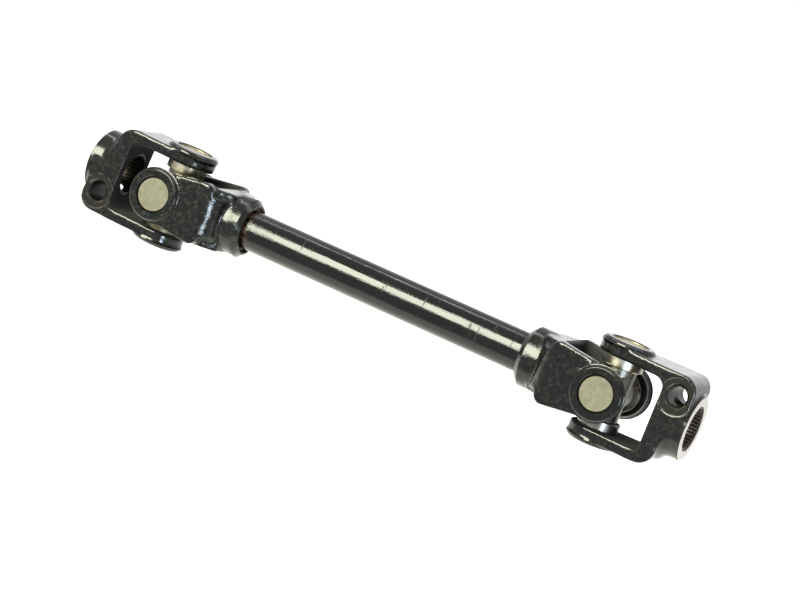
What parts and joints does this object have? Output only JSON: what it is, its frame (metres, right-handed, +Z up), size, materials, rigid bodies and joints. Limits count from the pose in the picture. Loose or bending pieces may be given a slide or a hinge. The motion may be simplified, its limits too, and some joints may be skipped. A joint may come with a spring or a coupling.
{
  "type": "intermediate steering shaft",
  "caption": "Steering column shaft: a painted round bar with a needle-bearing cardan joint at each end, each ending in a serrated hub with a pinch-bolt lug.",
  "frame": {"origin": "on the bar's axis, midway between the centres of the two joints", "axes": "+X along the bar towards joint b, +Z up on the side of joint b's pinch lug, -Y faces the viewer of the picture"},
  "size_m": [0.2965, 0.0454, 0.0464],
  "materials": {
    "black_paint": "gloss black paint over forged and drawn steel",
    "cup_steel": "satin drawn steel with a warm tarnish",
    "plated_steel": "yellow passivated plating",
    "ground_steel": "ground and oiled",
    "roller_steel": "polished bearing steel"
  },
  "bodies": {
    "shaft": {"shaft_bar": "black_paint", "inner_fork_a": "black_paint", "inner_fork_b": "black_paint", "cup_a_front": "cup_steel", "needles_a_front": "roller_steel", "seal_a_front": "plated_steel", "cup_a_back": "cup_steel", "needles_a_back": "roller_steel", "seal_a_back": "plated_steel", "cup_b_front": "cup_steel", "needles_b_front": "roller_steel", "seal_b_front": "plated_steel", "cup_b_back": "cup_steel", "needles_b_back": "roller_steel", "seal_b_back": "plated_steel"},
    "joint_cross_a": {"cross_a": "ground_steel"},
    "hub_fork_a": {"outer_fork_a": "black_paint", "cup_a_upper": "cup_steel", "needles_a_upper": "roller_steel", "seal_a_upper": "plated_steel", "cup_a_lower": "cup_steel", "needles_a_lower": "roller_steel", "seal_a_lower": "plated_steel"},
    "joint_cross_b": {"cross_b": "ground_steel"},
    "hub_fork_b": {"outer_fork_b": "black_paint", "cup_b_upper": "cup_steel", "needles_b_upper": "roller_steel", "seal_b_upper": "plated_steel", "cup_b_lower": "cup_steel", "needles_b_lower": "roller_steel", "seal_b_lower": "plated_steel"}
  },
  "joints": [
    {"name": "cross_a_swing", "type": "hinge", "parent": "shaft", "child": "joint_cross_a", "pos_m": [-0.109, 0, 0], "axis": [0, 1, 0], "range_deg": [-33, 27]},
    {"name": "hub_a_swing", "type": "hinge", "parent": "joint_cross_a", "child": "hub_fork_a", "pos_m": [-0.109, 0, 0], "axis": [0.0523, 0, 0.9986], "range_deg": [-30, 30]},
    {"name": "cross_b_swing", "type": "hinge", "parent": "shaft", "child": "joint_cross_b", "pos_m": [0.109, 0, 0], "axis": [0, 1, 0], "range_deg": [-30, 30]},
    {"name": "hub_b_swing", "type": "hinge", "parent": "joint_cross_b", "child": "hub_fork_b", "pos_m": [0.109, 0, 0], "axis": [0, 0, 1], "range_deg": [-30, 30]}
  ]
}
